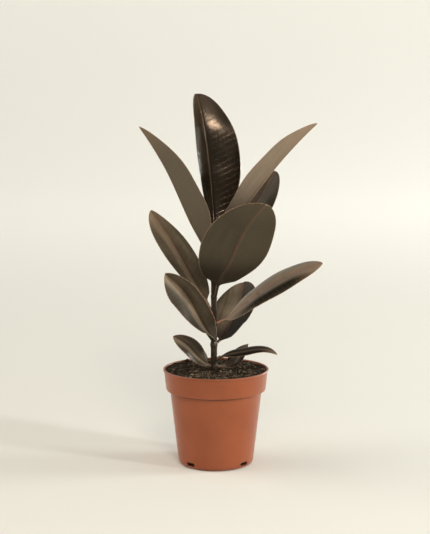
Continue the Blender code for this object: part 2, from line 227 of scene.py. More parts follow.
def make_sky():
    world = bpy.data.worlds.new("studio")
    bpy.context.scene.world = world
    world.use_nodes = True
    tree = world.node_tree
    background = tree.nodes["Background"]
    looking = tree.nodes.new("ShaderNodeTexCoord").outputs["Generated"]
    total = tree.nodes.new("ShaderNodeRGB").outputs[0]
    total.default_value = (*(SKY * c for c in SKY_COLOUR), 1.0)
    for bearing, height, width, strength, colour in SKY_PATCHES:
        dot = tree.nodes.new("ShaderNodeVectorMath")
        dot.operation = "DOT_PRODUCT"
        tree.links.new(looking, dot.inputs[0])
        dot.inputs[1].default_value = direction(bearing, height)
        patch = tree.nodes.new("ShaderNodeMapRange")
        patch.interpolation_type = "SMOOTHSTEP"
        tree.links.new(dot.outputs["Value"], patch.inputs["Value"])
        patch.inputs["From Min"].default_value = math.cos(math.radians(width))
        patch.inputs["From Max"].default_value = math.cos(math.radians(width * 0.5))
        scaled = tree.nodes.new("ShaderNodeVectorMath")
        scaled.operation = "SCALE"
        scaled.inputs[0].default_value = tuple(strength * c for c in colour)
        tree.links.new(patch.outputs["Result"], scaled.inputs["Scale"])
        added = tree.nodes.new("ShaderNodeVectorMath")
        tree.links.new(total, added.inputs[0])
        tree.links.new(scaled.outputs[0], added.inputs[1])
        total = added.outputs[0]
    tree.links.new(total, background.inputs["Color"])


def key_light():
    bearing, height, width, strength, colour = KEY
    data = bpy.data.lights.new("key", "SUN")
    data.energy = strength
    data.angle = math.radians(width)
    data.color = colour
    light = bpy.data.objects.new("key", data)
    bpy.context.scene.collection.objects.link(light)
    light.rotation_euler = Vector(direction(bearing, height)).to_track_quat("Z", "Y").to_euler()


def make_lights():
    key_light()
    for lamp in LAMPS:
        area_light(*lamp)
    make_sky()
    bpy.context.scene.view_settings.view_transform = "Standard"


# ---------------------------------------------------------------- materials

class Nodes:
    """A short way to write a material's nodes."""

    def __init__(self, name):
        self.material = bpy.data.materials.new(name)
        self.material.use_nodes = True
        self.tree = self.material.node_tree
        self.shader = self.tree.nodes["Principled BSDF"]

    def link(self, source, socket):
        self.tree.links.new(source, socket)

    def put(self, value, socket):
        """Links an output to the socket, or sets the socket to a number or a colour."""
        if isinstance(value, bpy.types.NodeSocket):
            self.link(value, socket)
        elif isinstance(value, tuple) and len(value) == 3 and socket.type == "RGBA":
            socket.default_value = (*value, 1.0)
        else:
            socket.default_value = value

    def set(self, **inputs):
        """Sets or links the shader's own inputs, whose names have _ for a space."""
        for name, value in inputs.items():
            self.put(value, self.shader.inputs[name.replace("_", " ")])

    def place(self):
        return self.tree.nodes.new("ShaderNodeTexCoord").outputs["Object"]

    def attribute(self, name):
        node = self.tree.nodes.new("ShaderNodeAttribute")
        node.attribute_name = name
        return node

    def parts(self, vector):
        node = self.tree.nodes.new("ShaderNodeSeparateXYZ")
        self.link(vector, node.inputs[0])
        return node.outputs

    def joined(self, x, y, z):
        node = self.tree.nodes.new("ShaderNodeCombineXYZ")
        for socket, value in zip(node.inputs, (x, y, z)):
            self.put(value, socket)
        return node.outputs[0]

    def math(self, operation, a, b=0.0, c=0.0):
        node = self.tree.nodes.new("ShaderNodeMath")
        node.operation = operation
        for socket, value in zip(node.inputs, (a, b, c)):
            self.put(value, socket)
        return node.outputs[0]

    def noise(self, vector, scale, detail=3.0, rough=0.55):
        node = self.tree.nodes.new("ShaderNodeTexNoise")
        self.link(vector, node.inputs["Vector"])
        node.inputs["Scale"].default_value = scale
        node.inputs["Detail"].default_value = detail
        node.inputs["Roughness"].default_value = rough
        return node.outputs["Fac"]

    def cells(self, vector, scale):
        node = self.tree.nodes.new("ShaderNodeTexVoronoi")
        self.link(vector, node.inputs["Vector"])
        node.inputs["Scale"].default_value = scale
        return node.outputs["Distance"]

    def ramp(self, value, low, high, at_low=0.0, at_high=1.0):
        """Goes smoothly from at_low to at_high as value goes from low to high."""
        node = self.tree.nodes.new("ShaderNodeMapRange")
        node.interpolation_type = "SMOOTHSTEP"
        self.put(value, node.inputs["Value"])
        for socket, number in zip(("From Min", "From Max", "To Min", "To Max"), (low, high, at_low, at_high)):
            node.inputs[socket].default_value = number
        return node.outputs["Result"]

    def mix(self, share, a, b):
        """The colour a where share is 0, and b where it is 1."""
        node = self.tree.nodes.new("ShaderNodeMix")
        node.data_type = "RGBA"
        for name, value in (("Factor", share), ("A", a), ("B", b)):
            self.put(value, node.inputs[name])
        return node.outputs["Result"]

    def bump(self, height, strength, distance, normal=None):
        node = self.tree.nodes.new("ShaderNodeBump")
        self.link(height, node.inputs["Height"])
        node.inputs["Strength"].default_value = strength
        node.inputs["Distance"].default_value = distance
        if normal is not None:
            self.link(normal, node.inputs["Normal"])
        return node.outputs["Normal"]


def stage_paper():
    paper = Nodes("stage_paper")
    paper.set(Base_Color=(0.84, 0.817, 0.75), Roughness=1.0, Specular_IOR_Level=0.0)
    return paper.material


POT_DARK = (0.262, 0.063, 0.020)
POT_LIGHT = (0.300, 0.076, 0.026)
CREASE_SHADE_COLOUR = (0.035, 0.014, 0.008)
# Painted shade in the creases below the foot of the band and of the lip: how far below each foot it starts and
# how far down it goes, in mm, and how dark it is.
BAND_CREASE_SHADE = (0.2, 2.2, 0.85)
LIP_CREASE_SHADE = (0.1, 1.0, 0.4)


def pot_plastic():
    """Satin terracotta-coloured plastic with a faint mould grain, and painted shade in the creases under the
    band and the lip.
    """
    plastic = Nodes("pot_plastic")
    place = plastic.place()
    cloud = plastic.noise(place, scale=26.0, detail=4.0)
    grain = plastic.noise(place, scale=1500.0, detail=2.0)
    wear = plastic.noise(place, scale=60.0, detail=5.0, rough=0.65)
    colour = plastic.mix(plastic.ramp(cloud, 0.3, 0.7), POT_DARK, POT_LIGHT)
    height = plastic.math("MULTIPLY", plastic.parts(place)[2], 1.0 / MM)
    for foot, (below, depth, strength) in (
        (POT_HEIGHT - BAND_HEIGHT, BAND_CREASE_SHADE),
        (POT_HEIGHT - LIP_HEIGHT, LIP_CREASE_SHADE),
    ):
        top = foot - below
        # Painted shade: a dark line just below each foot, broken up by the cloud.
        crease_shade = plastic.math("MULTIPLY", plastic.ramp(height, top, top - 0.2),
                            plastic.ramp(height, top - depth, top - 1.0))
        crease_shade = plastic.math("MULTIPLY", crease_shade, plastic.ramp(cloud, 0.35, 0.6, strength * 0.6, strength))
        colour = plastic.mix(crease_shade, colour, CREASE_SHADE_COLOUR)
    plastic.set(
        Base_Color=colour,
        Roughness=plastic.ramp(wear, 0.25, 0.75, 0.28, 0.38),
        Specular_IOR_Level=0.38,
        Sheen_Weight=0.05,
        Sheen_Roughness=0.35,
        Sheen_Tint=(1.0, 0.95, 0.86),
        Normal=plastic.bump(grain, strength=0.25, distance=0.0002),
    )
    return plastic.material


WARM_TINT = (1.0, 0.85, 0.65)


def potting_soil(name, dark, light, scale=1.0):
    """Dark damp peat, or a chip or fibre in it, mottled at the scale of its crumbs."""
    soil = Nodes(name)
    place = soil.place()
    crumbs = soil.noise(place, scale=420.0 * scale, detail=6.0, rough=0.7)
    patches = soil.noise(place, scale=70.0 * scale)
    share = soil.math("MULTIPLY", soil.ramp(crumbs, 0.42, 0.70), soil.ramp(patches, 0.35, 0.65, 0.4, 1.0))
    soil.set(
        Base_Color=soil.mix(share, dark, light),
        Roughness=0.9,
        Specular_IOR_Level=0.12,
        Specular_Tint=WARM_TINT,
        Normal=soil.bump(crumbs, strength=0.8, distance=0.0012),
    )
    return soil.material


def young_bark():
    """Smooth dark bark with pale flecks and rings."""
    bark = Nodes("young_bark")
    place = bark.place()
    x, y, z = bark.parts(place)
    squeezed = bark.joined(x, y, bark.math("MULTIPLY", z, 5.0))
    rings = bark.noise(squeezed, scale=190.0, detail=4.0, rough=0.6)
    flecks = bark.cells(place, scale=520.0)
    colour = bark.mix(bark.ramp(rings, 0.35, 0.7), (0.014, 0.009, 0.005), (0.048, 0.033, 0.021))
    colour = bark.mix(bark.ramp(flecks, 0.20, 0.10, 0.0, 0.4), colour, (0.16, 0.11, 0.07))
    bark.set(
        Base_Color=colour,
        Roughness=bark.ramp(rings, 0.3, 0.7, 0.5, 0.7),
        Specular_IOR_Level=0.25,
        Specular_Tint=WARM_TINT,
        Normal=bark.bump(rings, strength=0.6, distance=0.0006),
    )
    return bark.material


def bud_skin():
    """Red skin with fine streaks along it."""
    skin = Nodes("bud_skin")
    x, y, z = skin.parts(skin.place())
    stretched = skin.joined(x, y, skin.math("MULTIPLY", z, 0.12))
    streaks = skin.noise(stretched, scale=900.0)
    skin.set(
        Base_Color=skin.mix(skin.ramp(streaks, 0.3, 0.7), (0.16, 0.028, 0.018), (0.30, 0.07, 0.045)),
        Roughness=0.38,
        Normal=skin.bump(streaks, strength=0.3, distance=0.0003),
    )
    return skin.material


# What a leaf's colours go towards: a painted sheen band beside the midrib, the midrib on its two sides, the
# margin, the tip, and painted shade at the foot, where other leaves shade it.
SHEEN_BAND_COLOUR = (0.290, 0.225, 0.158)
RIB_COLOUR = (0.34, 0.155, 0.098)
RIB_UNDER_COLOUR = (0.24, 0.085, 0.052)
RIM_COLOUR = (0.40, 0.235, 0.155)
TIP_COLOUR = (0.28, 0.19, 0.125)
SHADED_COLOUR = (0.010, 0.007, 0.004)
HALF_BLEND = 1.2  # how far from the midrib, in mm, the two halves' colours run into each other
UNDER_ROUGH = 0.52


def blade_length(leaf):
    return sum((Vector(b) - Vector(a)).length for a, b in zip(leaf.midrib, leaf.midrib[1:]))


def shade(colour, amount):
    return tuple(amount * part for part in colour)


def vein_lines(skin, along, across, out, inward):
    """1 on a side vein and 0 between two. They leave the midrib at a slant every few millimetres, with fainter
    ones between them, and all stop short of the margin."""
    slant = skin.math("SUBTRACT", along, skin.math("MULTIPLY", out, VEIN_SLANT))
    wobble = skin.noise(skin.joined(along, across, 0.0), scale=0.11, detail=2.0)
    slant = skin.math("MULTIPLY_ADD", wobble, 3.0, slant)
    main = skin.ramp(skin.math("PINGPONG", slant, VEIN_SPACING / 2), 0.55, 0.10)
    fine = skin.ramp(skin.math("PINGPONG", slant, VEIN_SPACING / 8), 0.45, 0.05, 0.0, 0.35)
    return skin.math("MULTIPLY", skin.math("MAXIMUM", main, fine), skin.ramp(inward, 0.8, 2.4))


def upper_colour(skin, leaf, across, out, inward, tone, lines):
    """Painted light and shade: two halves of unlike lightness, darker by the margin, and a paler sheen band
    beside the midrib.
    """
    half = skin.ramp(across, -HALF_BLEND, HALF_BLEND)
    # Painted light and shade: one half lighter and the other darker, by the way each faces the lamps.
    dark, light = (skin.mix(half, *(shade(leaf.top, amount * lightness) for lightness in leaf.half_lighting))
                   for amount in (0.75, 1.25))
    colour = skin.mix(tone, dark, light)
    # Painted shade towards the margin, where the blade curves away from the light.
    colour = skin.mix(skin.ramp(inward, 8.0, 0.5, 0.0, 0.6), colour, shade(leaf.top, 0.35))
    colour = skin.mix(skin.math("MULTIPLY", lines, 0.12), colour, shade(leaf.top, 3.0))
    # Painted sheen: a paler band beside the midrib, stronger on one half than on the other.
    sheen_band = skin.math("MULTIPLY", skin.ramp(out, leaf.half_width * 0.6, leaf.half_width * 0.25),
                     skin.math("MULTIPLY_ADD", tone, 0.5, 0.5))
    sheen_band = skin.math("MULTIPLY", sheen_band, skin.ramp(across, -HALF_BLEND, HALF_BLEND, *leaf.sheen_band))
    colour = skin.mix(sheen_band, colour, SHEEN_BAND_COLOUR)
    rib = skin.ramp(out, 1.25, 0.6)
    return skin.mix(skin.math("MULTIPLY", rib, leaf.rib), colour, RIB_COLOUR)


def under_colour(skin, leaf, across, out, tone, lines, freckle):
    """Duller than the upper side, with a freckled midrib, and painted light that sets its first half's
    lightness apart.
    """
    first_half = skin.ramp(across, HALF_BLEND, -HALF_BLEND)
    colour = skin.mix(tone, shade(leaf.under, 0.9), shade(leaf.under, 1.12))
    # Painted light: the first half's own lightness.
    colour = skin.mix(first_half, colour, shade(leaf.under, leaf.under_half_lighting))
    colour = skin.mix(skin.math("MULTIPLY", lines, 0.16), colour, shade(leaf.under, 2.0))
    rib = skin.math("MULTIPLY", skin.ramp(out, 1.3, 0.7), freckle)
    return skin.mix(skin.math("MULTIPLY", rib, leaf.rib), colour, RIB_UNDER_COLOUR)


def leaf_skin(leaf):
    """A leaf's two sides, told apart by leaf_side. leaf_place holds, in mm, the way along the blade, the way
    across it from the midrib, and the way in from the margin."""
    skin = Nodes(leaf.name + "_skin")
    along, across, inward = skin.parts(skin.attribute("leaf_place").outputs["Vector"])
    under = skin.attribute("leaf_side").outputs["Fac"]
    out = skin.math("ABSOLUTE", across)
    place = skin.place()
    lines = vein_lines(skin, along, across, out, inward)

    cloud = skin.noise(place, scale=38.0, detail=4.0, rough=0.6)
    drawn_out = skin.joined(skin.math("MULTIPLY", along, 0.02), skin.math("MULTIPLY", across, 0.30), 1.0)
    streak = skin.noise(drawn_out, scale=1.0)
    tone = skin.ramp(skin.math("MULTIPLY_ADD", streak, 0.5, skin.math("MULTIPLY", cloud, 0.5)), 0.38, 0.62)
    freckle = skin.ramp(skin.noise(place, scale=900.0, detail=2.0), 0.46, 0.62, 0.25, 1.0)
    colour = skin.mix(
        under,
        upper_colour(skin, leaf, across, out, inward, tone, lines),
        under_colour(skin, leaf, across, out, tone, lines, freckle),
    )
    length = blade_length(leaf)
    colour = skin.mix(skin.ramp(along, length * 0.7, length, 0.0, leaf.tip), colour, TIP_COLOUR)
    # Painted shade at the foot of the blade, where other leaves shade it.
    colour = skin.mix(skin.ramp(along, 4.0, leaf.shaded_to, 1.0 - leaf.shaded, 0.0), colour, SHADED_COLOUR)
    rim = skin.ramp(inward, 1.1, 0.35)
    colour = skin.mix(skin.math("MULTIPLY", rim, freckle), colour, RIM_COLOUR)

    # The veins are sunk into the upper side and stand out on the underside.
    sunk = skin.math("MULTIPLY", lines, skin.math("MULTIPLY_ADD", under, 2.0, -1.0))
    grain = skin.bump(skin.noise(place, scale=700.0), strength=0.10, distance=0.0003)
    rough = skin.math("MULTIPLY_ADD", under, UNDER_ROUGH - leaf.rough, leaf.rough)
    skin.set(
        Base_Color=colour,
        Roughness=skin.math("ADD", rough, skin.ramp(cloud, 0.3, 0.7, -0.03, 0.05)),
        Specular_IOR_Level=leaf.shine,
        Specular_Tint=(1.0, 0.88, 0.72),
        Normal=skin.bump(sunk, strength=0.15, distance=0.0003, normal=grain),
    )
    return skin.material


# ---------------------------------------------------------------- mesh helpers

def add_object(name, mesh):
    made = bpy.data.objects.new(name, mesh)
    bpy.context.scene.collection.objects.link(made)
    return made


def unit(vector):
    return vector / np.linalg.norm(vector)


def ring_faces(rings, sides):
    """Faces between closed rings of points."""
    faces = []
    for i in range(rings - 1):
        for j in range(sides):
            k = (j + 1) % sides
            faces.append((i * sides + j, i * sides + k, (i + 1) * sides + k, (i + 1) * sides + j))
    return faces


def tube_faces(rings, sides):
    """Faces of a closed tube through rings of points, with one face across each end."""
    last = (rings - 1) * sides
    return ring_faces(rings, sides) + [tuple(range(sides)), tuple(range(last, last + sides))]


def smooth_mesh(name, points, faces, scale=MM):
    """A smooth mesh with its faces turned outwards, through points in mm or in units of the scale."""
    mesh = bpy.data.meshes.new(name)
    mesh.from_pydata([tuple(p) for p in np.array(points) * scale], [], faces)
    mesh.update()
    mesh.shade_smooth()
    built = bmesh.new()
    built.from_mesh(mesh)
    bmesh.ops.recalc_face_normals(built, faces=built.faces)
    built.to_mesh(mesh)
    built.free()
    return mesh


def revolved(name, profile, segments, scale=MM, close_end=True):
    """A mesh of revolution about Z through (radius, height) points, which starts on the axis, and with
    close_end also ends there."""
    turns = np.linspace(0.0, math.tau, segments, endpoint=False)
    inner = profile[1:-1] if close_end else profile[1:]
    points = [(0.0, 0.0, profile[0][1])]
    for radius, height in inner:
        points += [(radius * math.cos(a), radius * math.sin(a), height) for a in turns]
    faces = [(0, 1 + (k + 1) % segments, 1 + k) for k in range(segments)]
    faces += [tuple(1 + i for i in face) for face in ring_faces(len(inner), segments)]
    if close_end:
        points.append((0.0, 0.0, profile[-1][1]))
        start = 1 + (len(inner) - 1) * segments
        faces += [(len(points) - 1, start + k, start + (k + 1) % segments) for k in range(segments)]
    mesh = smooth_mesh(name, points, faces, scale)
    if not close_end:
        mesh.flip_normals()
    return add_object(name, mesh)


# ---------------------------------------------------------------- leaves

def smooth_path(points):
    """Places on a smooth curve through the points, PATH_STEPS of them in each span."""
    points = np.array(points, float)
    knots = np.concatenate([[0.0], np.cumsum(np.linalg.norm(np.diff(points, axis=0), axis=1))])
    slopes = np.gradient(points, knots, axis=0, edge_order=2)
    slopes[0, 2] = 0.0
    places = []
    for i in range(len(points) - 1):
        span = knots[i + 1] - knots[i]
        for t in np.arange(PATH_STEPS) / PATH_STEPS:
            places.append((2 * t**3 - 3 * t**2 + 1) * points[i] + (t**3 - 2 * t**2 + t) * span * slopes[i]
                          + (3 * t**2 - 2 * t**3) * points[i + 1] + (t**3 - t**2) * span * slopes[i + 1])
    return np.array(places + [points[-1]])


def outline(leaf, part):
    """The blade's half width, as a share of its widest, at a share of its length."""
    if part < leaf.widest:
        return (1.0 - ((leaf.widest - part) / leaf.widest) ** 2) ** leaf.foot
    return (1.0 - ((part - leaf.widest) / (1.0 - leaf.widest)) ** 2) ** leaf.point


def turned_about(vector, axis, degrees):
    """The vector, which is square to the axis, turned about it."""
    turn = math.radians(degrees)
    return vector * math.cos(turn) + np.cross(axis, vector) * math.sin(turn)


def leaf_frames(leaf):
    """(place, across, upper, share of the blade, way along the blade) at each station of a leaf."""
    joint = stem_point(leaf.height, leaf.bearing, stem_radius(leaf.height) - 0.6)
    joint_out = stem_point(leaf.height, leaf.bearing, stem_radius(leaf.height) + 0.3)
    places = smooth_path([joint_out] + leaf.midrib)
    length = np.concatenate([[0.0], np.cumsum(np.linalg.norm(np.diff(places, axis=0), axis=1))])
    foot = length[PATH_STEPS]

    def place_at(station):
        return np.array([np.interp(station, length, places[:, axis]) for axis in range(3)])

    stations = list(np.linspace(0.0, foot, PETIOLE_STATIONS, endpoint=False))
    even = np.linspace(0.0, 1.0, BLADE_STATIONS)
    eased = (1.0 - np.cos(even * math.pi)) / 2
    stations += list(foot + (length[-1] - foot) * (0.55 * even + 0.45 * eased))
    frames = []
    for number, station in enumerate(stations):
        centre = place_at(station)
        along = unit(place_at(station + 1.2) - place_at(station - 1.2))
        if number == 0:
            centre = np.array(joint)
            along = unit(np.array(joint_out) - np.array(joint))
        part = max(0.0, (station - foot) / (length[-1] - foot))
        upper = unit(np.array(leaf.face) - np.dot(leaf.face, along) * along)
        upper = turned_about(upper, along, leaf.twist * (part - 0.5) + leaf.foot_turn * (1.0 - part) ** 3)
        frames.append((centre, np.cross(along, upper), upper, part, station - foot))
    return frames


def vein_wave(along, out):
    """1 on a side vein and -1 midway between two."""
    return math.cos(math.tau * (along - out * VEIN_SLANT) / VEIN_SPACING)


def blade_lift(leaf, seed, along, share, out):
    """How far the blade rises above its midrib: by its fold and curl, and by ripples towards the margin."""
    bend = math.radians(leaf.fold + leaf.curl * abs(share) / 2)
    ripple = noise(Vector((along / 34.0, share * 0.9 + seed * 3.7, seed * 1.3)))
    ripple += 0.5 * math.sin(along / 9.0 + seed * 2.1 + (2.0 if share > 0 else 0.0)) * abs(share) ** 3
    return math.sin(bend) * out + leaf.wave * ripple * abs(share) ** 1.5


def blade_relief(part, along, out, half, below, flat):
    """How far the surface stands out from the blade's bent sheet: its veins, the groove along the midrib and,
    below, the blade's thickness and the ridge."""
    fade = min(1.0, max(0.0, (half - out) / 4.0)) * flat
    relief = -VEIN_RELIEF * vein_wave(along, out) * fade * min(1.0, out / 2.0)
    relief -= GROOVE_DEPTH * (1.0 - 0.6 * part) * math.exp(-((out / GROOVE_WIDTH) ** 2))
    if below:
        edge = min(1.0, (half - out) / RIM_TAPER) if half > RIM_TAPER else 0.5
        relief -= RIM_THICKNESS + (BLADE_THICKNESS - RIM_THICKNESS) * edge
        ridge = min(1.0, out / (RIDGE_WIDTH * (1.0 - 0.6 * part)))
        relief -= RIDGE_DEPTH * (1.0 - 0.8 * part) * (0.5 + 0.5 * math.cos(math.pi * ridge))
    elif out == half:
        relief -= RIM_THICKNESS * 0.5
    return relief


def make_leaf(leaf):
    """A leaf of rings of points, from its joint to its tip: a round stalk that flattens out into the blade."""
    seed = int(leaf.name[-2:])
    upper_shares = [-s for s in reversed(SHARES)] + SHARES[1:]
    shares = upper_shares + upper_shares[-2:0:-1]
    columns = len(shares)
    points, places, sides = [], [], []
    frames = leaf_frames(leaf)
    for centre, across, upper, part, along in frames:
        flat = min(1.0, part / PETIOLE_RUN_OUT)
        flat = flat * flat * (3.0 - 2.0 * flat)
        half = max(PETIOLE_RADIUS * (1.0 - 0.75 * part), leaf.half_width * outline(leaf, part))
        for k, share in enumerate(shares):
            below = k >= len(upper_shares)
            side = math.copysign(1.0, share)
            out = half * abs(share)
            bend = math.radians(leaf.fold + leaf.curl * abs(share) / 2)
            steep = math.radians(leaf.fold + leaf.curl * abs(share))
            sheet = math.cos(bend) * side * across * out + blade_lift(leaf, seed, along, share, out) * upper
            normal = math.cos(steep) * upper - math.sin(steep) * side * across
            blade = sheet + blade_relief(part, along, out, half, below, flat) * normal
            turn = math.pi * (1.0 - k / (columns / 2))
            stalk = PETIOLE_RADIUS * (math.cos(turn) * across + math.sin(turn) * upper)
            points.append(centre + stalk * (1.0 - flat) + blade * flat)
            places.append((along, out * side, half - out))
            sides.append(float(below))
    mesh = smooth_mesh(leaf.name + "_blade", points, tube_faces(len(frames), columns))
    place = mesh.attributes.new("leaf_place", "FLOAT_VECTOR", "POINT")
    place.data.foreach_set("vector", np.array(places, np.float32).ravel())
    side = mesh.attributes.new("leaf_side", "FLOAT", "POINT")
    side.data.foreach_set("value", np.array(sides, np.float32))
    mesh.materials.append(leaf_skin(leaf))
    blade = add_object(leaf.name + "_blade", mesh)
    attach(blade, "root")
    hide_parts(leaf.name)


# ---------------------------------------------------------------- stem and bud

stem_low, stem_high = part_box("stem")
STEM_X = (stem_low.x + stem_high.x) / 2 / MM
STEM_FOOT = stem_low.z / MM
STEM_TOP = stem_high.z / MM
STEM_FOOT_RADIUS = (stem_high.x - stem_low.x) / 2 / MM
STEM_TOP_RADIUS = 3.2
STEM_SIDES = 40
STEM_RING_SPACING = 0.8
BARK_INSET = 0.15
BARK_LUMPS = 0.14
NODE_SWELL = 0.35
SCAR_DEPTH = 0.16
BUD_RADIUS = 2.7
BUD_SIDES = 28
BUD_RINGS = 60
BUD_SEAM_STEP = 0.22
BUD_SEAM_TURN = 200.0


def stem_radius(height):
    part = (height - STEM_FOOT) / (STEM_TOP - STEM_FOOT)
    return STEM_FOOT_RADIUS + (STEM_TOP_RADIUS - STEM_FOOT_RADIUS) * part


def stem_point(height, bearing, radius):
    turn = math.radians(bearing)
    return (STEM_X + radius * math.cos(turn), radius * math.sin(turn), height)


def make_stem():
    """The stem swells at each leaf, where a ring scar goes round it."""
    points = []
    heights = np.arange(STEM_FOOT, STEM_TOP + 0.01, STEM_RING_SPACING)
    for height in heights:
        swell = 0.0
        for leaf in LEAVES:
            swell += NODE_SWELL * math.exp(-(((height - leaf.height + 1.0) / 2.6) ** 2))
            swell -= SCAR_DEPTH * math.exp(-(((height - leaf.height - 3.2) / 0.7) ** 2))
        for k in range(STEM_SIDES):
            turn = 360.0 * k / STEM_SIDES
            x, y, _ = stem_point(height, turn, 1.0)
            lump = BARK_LUMPS * noise(Vector((x * 1.2, y * 1.2, height / 5.0)))
            points.append(stem_point(height, turn, stem_radius(height) - BARK_INSET + swell + lump))
    mesh = smooth_mesh("stem_bark", points, tube_faces(len(heights), STEM_SIDES))
    mesh.materials.append(young_bark())
    stem = add_object("stem_bark", mesh)
    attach(stem, "root")
    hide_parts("stem")


def make_bud():
    """A rolled sheath with a spiral seam, on the tip of the stem."""
    low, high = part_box("bud_sheath")
    foot = low.z / MM
    length = (high.z - low.z) / MM
    points = []
    for i in range(BUD_RINGS):
        part = i / (BUD_RINGS - 1)
        swell = 0.85 + 0.35 * math.sin(math.pi * min(1.0, 1.6 * part))
        radius = max(0.12, BUD_RADIUS * swell * (1.0 - part**1.8) ** 0.7)
        for k in range(BUD_SIDES):
            turn = 360.0 * k / BUD_SIDES
            seam = (turn - BUD_SEAM_TURN * part) % 360.0
            step = BUD_SEAM_STEP * (1.0 - seam / 360.0) * math.sin(math.pi * min(1.0, part * 1.3))
            points.append(stem_point(foot + length * part, turn, radius - 0.2 + step))
    mesh = smooth_mesh("bud", points, tube_faces(BUD_RINGS, BUD_SIDES))
    mesh.materials.append(bud_skin())
    bud = add_object("bud", mesh)
    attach(bud, "root")
    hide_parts("bud_sheath")


# ---------------------------------------------------------------- pot

pot_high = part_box("pot")[1]
POT_HEIGHT = pot_high.z / MM
RIM_RADIUS = pot_high.x / MM
LIP_HEIGHT = 1.8
BAND_HEIGHT = 23.5
BAND_TOP_RADIUS = 59.0
BAND_FOOT_RADIUS = 56.8
STEP_HEIGHT = 3.0
BODY_TOP_RADIUS = 52.2
BODY_FOOT_RADIUS = 43.0
BASE_RADIUS = 36.5
FOOT_CURVE_HEIGHT = 6.0
POT_WALL = 1.2
POT_FLOOR = 1.8
DRAIN_COUNT = 4
DRAIN_BEARING = 48.0
DRAIN_WIDTH = 12.0
DRAIN_BOTTOM = 3.6
DRAIN_TOP = 8.0
DRAIN_INNER_RADIUS = 33.0
DRAIN_LENGTH = 14.0
DRAIN_ROUNDING = 1.2
POT_ROUNDING = 0.7
POT_SEGMENTS = 192


def arc(centre, radius, start, stop, steps):
    """Points (radius, height) along an arc, between two angles in degrees."""
    angles = [math.radians(start + (stop - start) * k / steps) for k in range(steps + 1)]
    return [(centre[0] + radius[0] * math.cos(a), centre[1] + radius[1] * math.sin(a)) for a in angles]


def inner_radius(height):
    """The radius of the pot's inside at a height below the rim band."""
    part = (height - FOOT_CURVE_HEIGHT) / (POT_HEIGHT - BAND_HEIGHT - FOOT_CURVE_HEIGHT)
    return BODY_FOOT_RADIUS + (BODY_TOP_RADIUS - BODY_FOOT_RADIUS) * part - POT_WALL


def rounded(corners, radius):
    """A profile through the corners, each rounded by up to the radius."""
    made = [corners[0]]
    for before, corner, after in zip(corners, corners[1:], corners[2:]):
        before, corner, after = (np.array(p, float) for p in (before, corner, after))
        cut = min(radius, np.linalg.norm(corner - before) * 0.45, np.linalg.norm(after - corner) * 0.45)
        start = corner + unit(before - corner) * cut
        stop = corner + unit(after - corner) * cut
        for t in np.linspace(0.0, 1.0, 5):
            made.append(tuple((1 - t) ** 2 * start + 2 * t * (1 - t) * corner + t**2 * stop))
    return made + [corners[-1]]


def inner_profile():
    """The pot's inside, as (radius, height) from the rim down to the floor."""
    band_foot = POT_HEIGHT - BAND_HEIGHT
    return [(BAND_TOP_RADIUS - POT_WALL, POT_HEIGHT),
            (BAND_FOOT_RADIUS - POT_WALL, band_foot + POT_WALL),
            (inner_radius(band_foot), band_foot - STEP_HEIGHT + POT_WALL),
            (inner_radius(FOOT_CURVE_HEIGHT), FOOT_CURVE_HEIGHT),
            (BASE_RADIUS - POT_WALL, POT_FLOOR)]


def make_pot():
    band_foot = POT_HEIGHT - BAND_HEIGHT
    lip_foot = POT_HEIGHT - LIP_HEIGHT
    curve = (BODY_FOOT_RADIUS - BASE_RADIUS, FOOT_CURVE_HEIGHT)
    foot = arc((BASE_RADIUS, FOOT_CURVE_HEIGHT), curve, -90, 0, 10)
    outside = [(BODY_TOP_RADIUS, band_foot - 1.2), (BODY_TOP_RADIUS + 0.3, band_foot - 0.5),
               (BAND_FOOT_RADIUS - 0.6, band_foot - 0.3), (BAND_FOOT_RADIUS, band_foot + 0.6),
               (BAND_TOP_RADIUS, lip_foot - 0.3),
               (RIM_RADIUS, lip_foot), (RIM_RADIUS, POT_HEIGHT), (BAND_TOP_RADIUS - POT_WALL, POT_HEIGHT)]
    inside = inner_profile()[1:] + [(0.0, POT_FLOOR)]
    profile = [(0.0, 0.0), (10.0, 0.0)] + rounded(foot + outside + inside, POT_ROUNDING)
    pot = revolved("pot_shell", profile, POT_SEGMENTS)
    cut_drains(pot)
    pot.data.set_sharp_from_angle(angle=math.radians(38))
    pot.data.materials.append(pot_plastic())
    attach(pot, "root")
    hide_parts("pot")


def cut_drains(pot):
    """Cuts the drainage slots in the foot of the pot's wall."""
    cutter = bmesh.new()
    size = Vector((DRAIN_LENGTH, DRAIN_WIDTH, DRAIN_TOP - DRAIN_BOTTOM)) * MM
    centre = Vector((DRAIN_INNER_RADIUS + DRAIN_LENGTH / 2, 0.0, (DRAIN_TOP + DRAIN_BOTTOM) / 2)) * MM
    for k in range(DRAIN_COUNT):
        block = bmesh.ops.create_cube(cutter, size=1.0)["verts"]
        bmesh.ops.scale(cutter, vec=size, verts=block)
        bmesh.ops.translate(cutter, vec=centre, verts=block)
        turn = Matrix.Rotation(math.radians(DRAIN_BEARING + 360.0 * k / DRAIN_COUNT), 3, "Z")
        bmesh.ops.rotate(cutter, cent=(0.0, 0.0, 0.0), matrix=turn, verts=block)
    bmesh.ops.bevel(cutter, geom=list(cutter.edges), offset=DRAIN_ROUNDING * MM, segments=3, affect="EDGES")
    mesh = bpy.data.meshes.new("drain_slots")
    cutter.to_mesh(mesh)
    cutter.free()
    slots = add_object("drain_slots", mesh)
    cut = pot.modifiers.new("drain_slots", "BOOLEAN")
    cut.operation = "DIFFERENCE"
    cut.object = slots
    graph = bpy.context.evaluated_depsgraph_get()
    applied = bpy.data.meshes.new_from_object(pot.evaluated_get(graph))
    pot.modifiers.clear()
    pot.data = applied
    bpy.data.objects.remove(slots)


# ---------------------------------------------------------------- soil

SOIL_EDGE_BELOW_RIM = 1.2
SOIL_DIP = 1.0
SOIL_LUMPS = 2.0
SOIL_CRUMBLE = 0.8
SOIL_INSET = 0.3
SOIL_RINGS = 52
SOIL_SEGMENTS = 220


